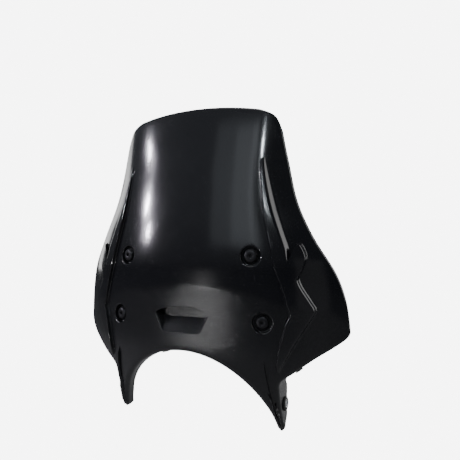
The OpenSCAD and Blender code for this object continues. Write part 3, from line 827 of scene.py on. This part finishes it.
def softened(node, width):
    """A copy of a CAD piece with its edges rounded over."""
    piece = bpy.data.objects.new(node + "_softened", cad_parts[node].data.copy())
    bpy.context.scene.collection.objects.link(piece)
    alone(piece)
    bpy.ops.object.mode_set(mode="EDIT")
    bpy.ops.mesh.select_all(action="SELECT")
    bpy.ops.mesh.remove_doubles(threshold=2 * weld * MM)
    bpy.ops.mesh.select_all(action="SELECT")
    bpy.ops.mesh.dissolve_limited(angle_limit=math.radians(flat_within))
    bpy.ops.object.mode_set(mode="OBJECT")
    apply(
        piece, "BEVEL", width=width * MM, segments=bevel_steps, limit_method="ANGLE",
        angle_limit=math.radians(crease), use_clamp_overlap=True,
    )
    smooth(piece, crease)
    return piece


powder = Paint("powder_coat", Specular_IOR_Level=0.5)
peel = powder.noise(650, 2, 0.55)
cloud = powder.noise(30, 3)
chips = powder.band(powder.noise(300, 4, 0.7), 0.7, 0.74)
powder_shade = powder.mix(cloud, (0.011, 0.011, 0.012, 1), (0.017, 0.017, 0.018, 1))
powder_shade = powder.mix(chips * 0.4, powder_shade, (0.09, 0.09, 0.095, 1))
powder_relief = powder.bump(peel, 0.35, 0.0004)
powder_rough = 0.33 + cloud * 0.12 + chips * 0.2
powder.finish(Base_Color=powder_shade, Roughness=powder_rough, Normal=powder_relief)
dress(softened("rear_stay", stay_soft), powder.material, "stay_steel", "screen", "rear_stay")

# ==== The leg pivots =================================================================================
# A rubber grommet sits in each leg flange, between two rounded flanges, and turns on a zinc-plated
# steel sleeve that is clamped to the machine.

sleeve_bore_r, sleeve_r, grommet_r, grommet_t, run_fit = 3.2, 4.5, 8.3, 2.0, 0.05
bore_r = sleeve_r + run_fit
inner, outer = -grommet_t, wall + grommet_t
grommet_section = [
    (bore_r, inner + 0.3), (bore_r + 0.3, inner), (grommet_r - 1.1, inner),
    (grommet_r - 0.35, inner + 0.3), (grommet_r, inner + 0.95), (grommet_r, -0.3),
    (grommet_r - 0.25, -0.05), (neck_r, -0.05), (neck_r, wall + 0.05), (grommet_r - 0.25, wall + 0.05),
    (grommet_r, wall + 0.3), (grommet_r, outer - 1), (grommet_r - 0.35, outer - 0.35),
    (grommet_r - 1.1, outer), (bore_r + 0.3, outer), (bore_r, outer - 0.3), (bore_r, inner + 0.3),
]
sleeve_in, sleeve_out = inner - 0.3, outer + 0.3
sleeve_section = [
    (sleeve_bore_r, sleeve_in + 0.3), (sleeve_bore_r + 0.3, sleeve_in), (sleeve_r - 0.35, sleeve_in),
    (sleeve_r, sleeve_in + 0.35), (sleeve_r, sleeve_out - 0.35), (sleeve_r - 0.35, sleeve_out),
    (sleeve_bore_r + 0.3, sleeve_out), (sleeve_bore_r, sleeve_out - 0.3),
    (sleeve_bore_r, sleeve_in + 0.3),
]


def leg_piece(name, section):
    """A turned piece on the left leg pivot, with its axis along X and 0 at the inside of the flange."""
    rings = [
        [Vector((leg_hw - wall + h, p.x, p.y)) for p in turned_ring(r, 0)] for r, h in section
    ]
    piece = skinned(name, rings)
    smooth(piece)
    return piece


zinc = Paint("zinc_plate", Metallic=1.0)
spangle = zinc.noise(420, 4, 0.6)
turning = zinc.node(
    "TexWave", {"bands_direction": "X"}, {"Vector": zinc.place, "Scale": 900.0, "Distortion": 0.6}
)
zinc_shade = zinc.mix(spangle, (0.36, 0.37, 0.38, 1), (0.56, 0.57, 0.58, 1))
zinc.finish(
    Base_Color=zinc_shade, Roughness=0.28 + spangle * 0.2, Normal=zinc.bump(turning, 0.2, 0.0001)
)
for kind, section, material, slot, body in (
    ("leg_grommet", grommet_section, rubber.material, "soft_rubber", "screen"),
    ("pivot_sleeve", sleeve_section, zinc.material, "zinc_steel", "pivots"),
):
    left = leg_piece(kind, section)
    right = mirrored(left)
    for side, piece in (("left", left), ("right", right)):
        piece.name = piece.data.name = f"{side}_{kind}_turned"
        dress(piece, material, slot, body, f"{side}_{kind}")

# ==== The arch buffers and wing pads =================================================================
# Short pieces of moulded rubber channel, pushed on to the lips: they keep the screen off the headlamp
# rim and off the tank.

for side in ("left", "right"):
    for kind in ("arch_buffer", "wing_pad"):
        node = f"{side}_{kind}"
        dress(softened(node, rubber_soft), rubber.material, "soft_rubber", "screen", node)

# ==== The studio =====================================================================================
# A plain pale floor well below the screen, a white surround, and soft boxes: small strips on the
# screen's right, broad boxes and a slim one in front, a low one for the vent, and fills round about.

floor_z, floor_size, white_glow = -0.3, 16, 7.0
bpy.ops.object.select_all(action="DESELECT")
bpy.ops.mesh.primitive_plane_add(size=floor_size, location=(0, 0, floor_z))
floor = bpy.context.object
floor.name = "pale_floor"
pale = Paint("pale_floor", Roughness=0.9, Specular_IOR_Level=0.1)
mottle = pale.noise(3, 2)
pale.finish(Base_Color=pale.mix(mottle, (0.2, 0.2, 0.2, 1), (0.24, 0.24, 0.24, 1)))
seen = pale.node("LightPath", out="Is Camera Ray")
glow = pale.node("Emission", inputs={"Color": (1, 1, 1, 1), "Strength": white_glow})
lit = Value(pale, pale.shader.outputs[0])
shown = pale.node("MixShader", inputs={0: seen, 1: lit, 2: glow})
pale.plug(pale.tree.nodes["Material Output"].inputs["Surface"], shown)
floor.data.materials.append(pale.material)

# The surround is white behind the screen. What the screen mirrors is dim: brightest high on its
# right-hand side, and darkest low down and on its left.
world = bpy.data.worlds.new("surround")
bpy.context.scene.world = world
world.use_nodes = True
nodes, links = world.node_tree.nodes, world.node_tree.links


def world_range(socket, low, high, start, end):
    """Goes smoothly from start to end as the socket's value goes from low to high."""
    ramp = nodes.new("ShaderNodeMapRange")
    ramp.interpolation_type = "SMOOTHSTEP"
    for k, value in zip((1, 2, 3, 4), (low, high, start, end)):
        ramp.inputs[k].default_value = value
    links.new(socket, ramp.inputs[0])
    return ramp.outputs[0]


toward = nodes.new("ShaderNodeTexCoord")
split = nodes.new("ShaderNodeSeparateXYZ")
links.new(toward.outputs["Generated"], split.inputs[0])
dim = nodes.new("ShaderNodeMath")
dim.operation = "MULTIPLY"
links.new(world_range(split.outputs["Z"], -0.1, 0.5, 0.03, 0.3), dim.inputs[0])
links.new(world_range(split.outputs["X"], 0.0, 0.6, 1.0, 0.25), dim.inputs[1])
room = nodes["Background"]
room.inputs["Color"].default_value = (0.86, 0.92, 1, 1)
links.new(dim.outputs[0], room.inputs["Strength"])
backdrop = nodes.new("ShaderNodeBackground")
backdrop.inputs["Color"].default_value = (1, 1, 1, 1)
backdrop.inputs["Strength"].default_value = white_glow
path = nodes.new("ShaderNodeLightPath")
blend = nodes.new("ShaderNodeMixShader")
links.new(path.outputs["Is Camera Ray"], blend.inputs[0])
links.new(room.outputs[0], blend.inputs[1])
links.new(backdrop.outputs[0], blend.inputs[2])
links.new(blend.outputs[0], nodes["World Output"].inputs["Surface"])

middle = Vector((0, 0, 0.17))


def softbox(name, azimuth, elevation, distance, width, tall, power, colour=(1, 1, 1)):
    """An area light that faces the screen: azimuth 0 is in front and 90 on its left, in degrees."""
    a, e = math.radians(azimuth), math.radians(elevation)
    away = Vector((math.sin(a) * math.cos(e), -math.cos(a) * math.cos(e), math.sin(e)))
    lamp = bpy.data.lights.new(name, "AREA")
    lamp.shape, lamp.size, lamp.size_y = "RECTANGLE", width, tall
    lamp.energy, lamp.color = power, colour
    light = bpy.data.objects.new(name, lamp)
    light.location = middle + away * distance
    light.rotation_euler = away.to_track_quat("Z", "Y").to_euler()
    bpy.context.scene.collection.objects.link(light)


violet = (0.93, 0.89, 1)
blue = (0.86, 0.93, 1)
softbox("strip_upper", -61, 28, 1.8, 0.02, 0.07, 4, violet)
softbox("strip_middle", -56, 19, 1.8, 0.02, 0.1, 10, violet)
softbox("strip_lower", -52, 13.5, 1.8, 0.02, 0.07, 5, violet)
softbox("strip_veil", -56, 20, 1.85, 0.07, 0.6, 1.0, violet)
softbox("front_wide", -2, 26, 1.85, 0.9, 0.9, 1.3, blue)
softbox("front_box", 6, 26, 1.8, 0.56, 0.8, 0.8, blue)
softbox("front_inner", 14, 26, 1.79, 0.24, 0.8, 0.35, blue)
softbox("front_slim", 29, 32, 1.75, 0.03, 0.14, 6, blue)
softbox("low_box", -19, -10.5, 1.7, 0.2, 0.03, 3.6)
softbox("wing_fill", 52, -6, 1.8, 0.7, 1.2, 0.45)
softbox("behind_box", 155, 2, 1.9, 0.6, 0.9, 16)
softbox("side_box", 102, 18, 1.8, 0.9, 1.2, 12)
softbox("top_box", 0, 80, 1.6, 1.0, 0.7, 5)
softbox("back_box", 200, 30, 1.8, 1.0, 0.8, 36)
softbox("right_box", -105, 12, 1.9, 0.4, 0.9, 4)

camera = bpy.data.objects.new("camera", bpy.data.cameras.new("camera"))
camera.location = (0.3183, -0.5823, 0.1912)
camera.rotation_euler = (math.radians(91.8), 0, math.radians(25.3))
camera.data.lens = 39.13
camera.data.sensor_width = 36
bpy.context.scene.collection.objects.link(camera)
bpy.context.scene.camera = camera
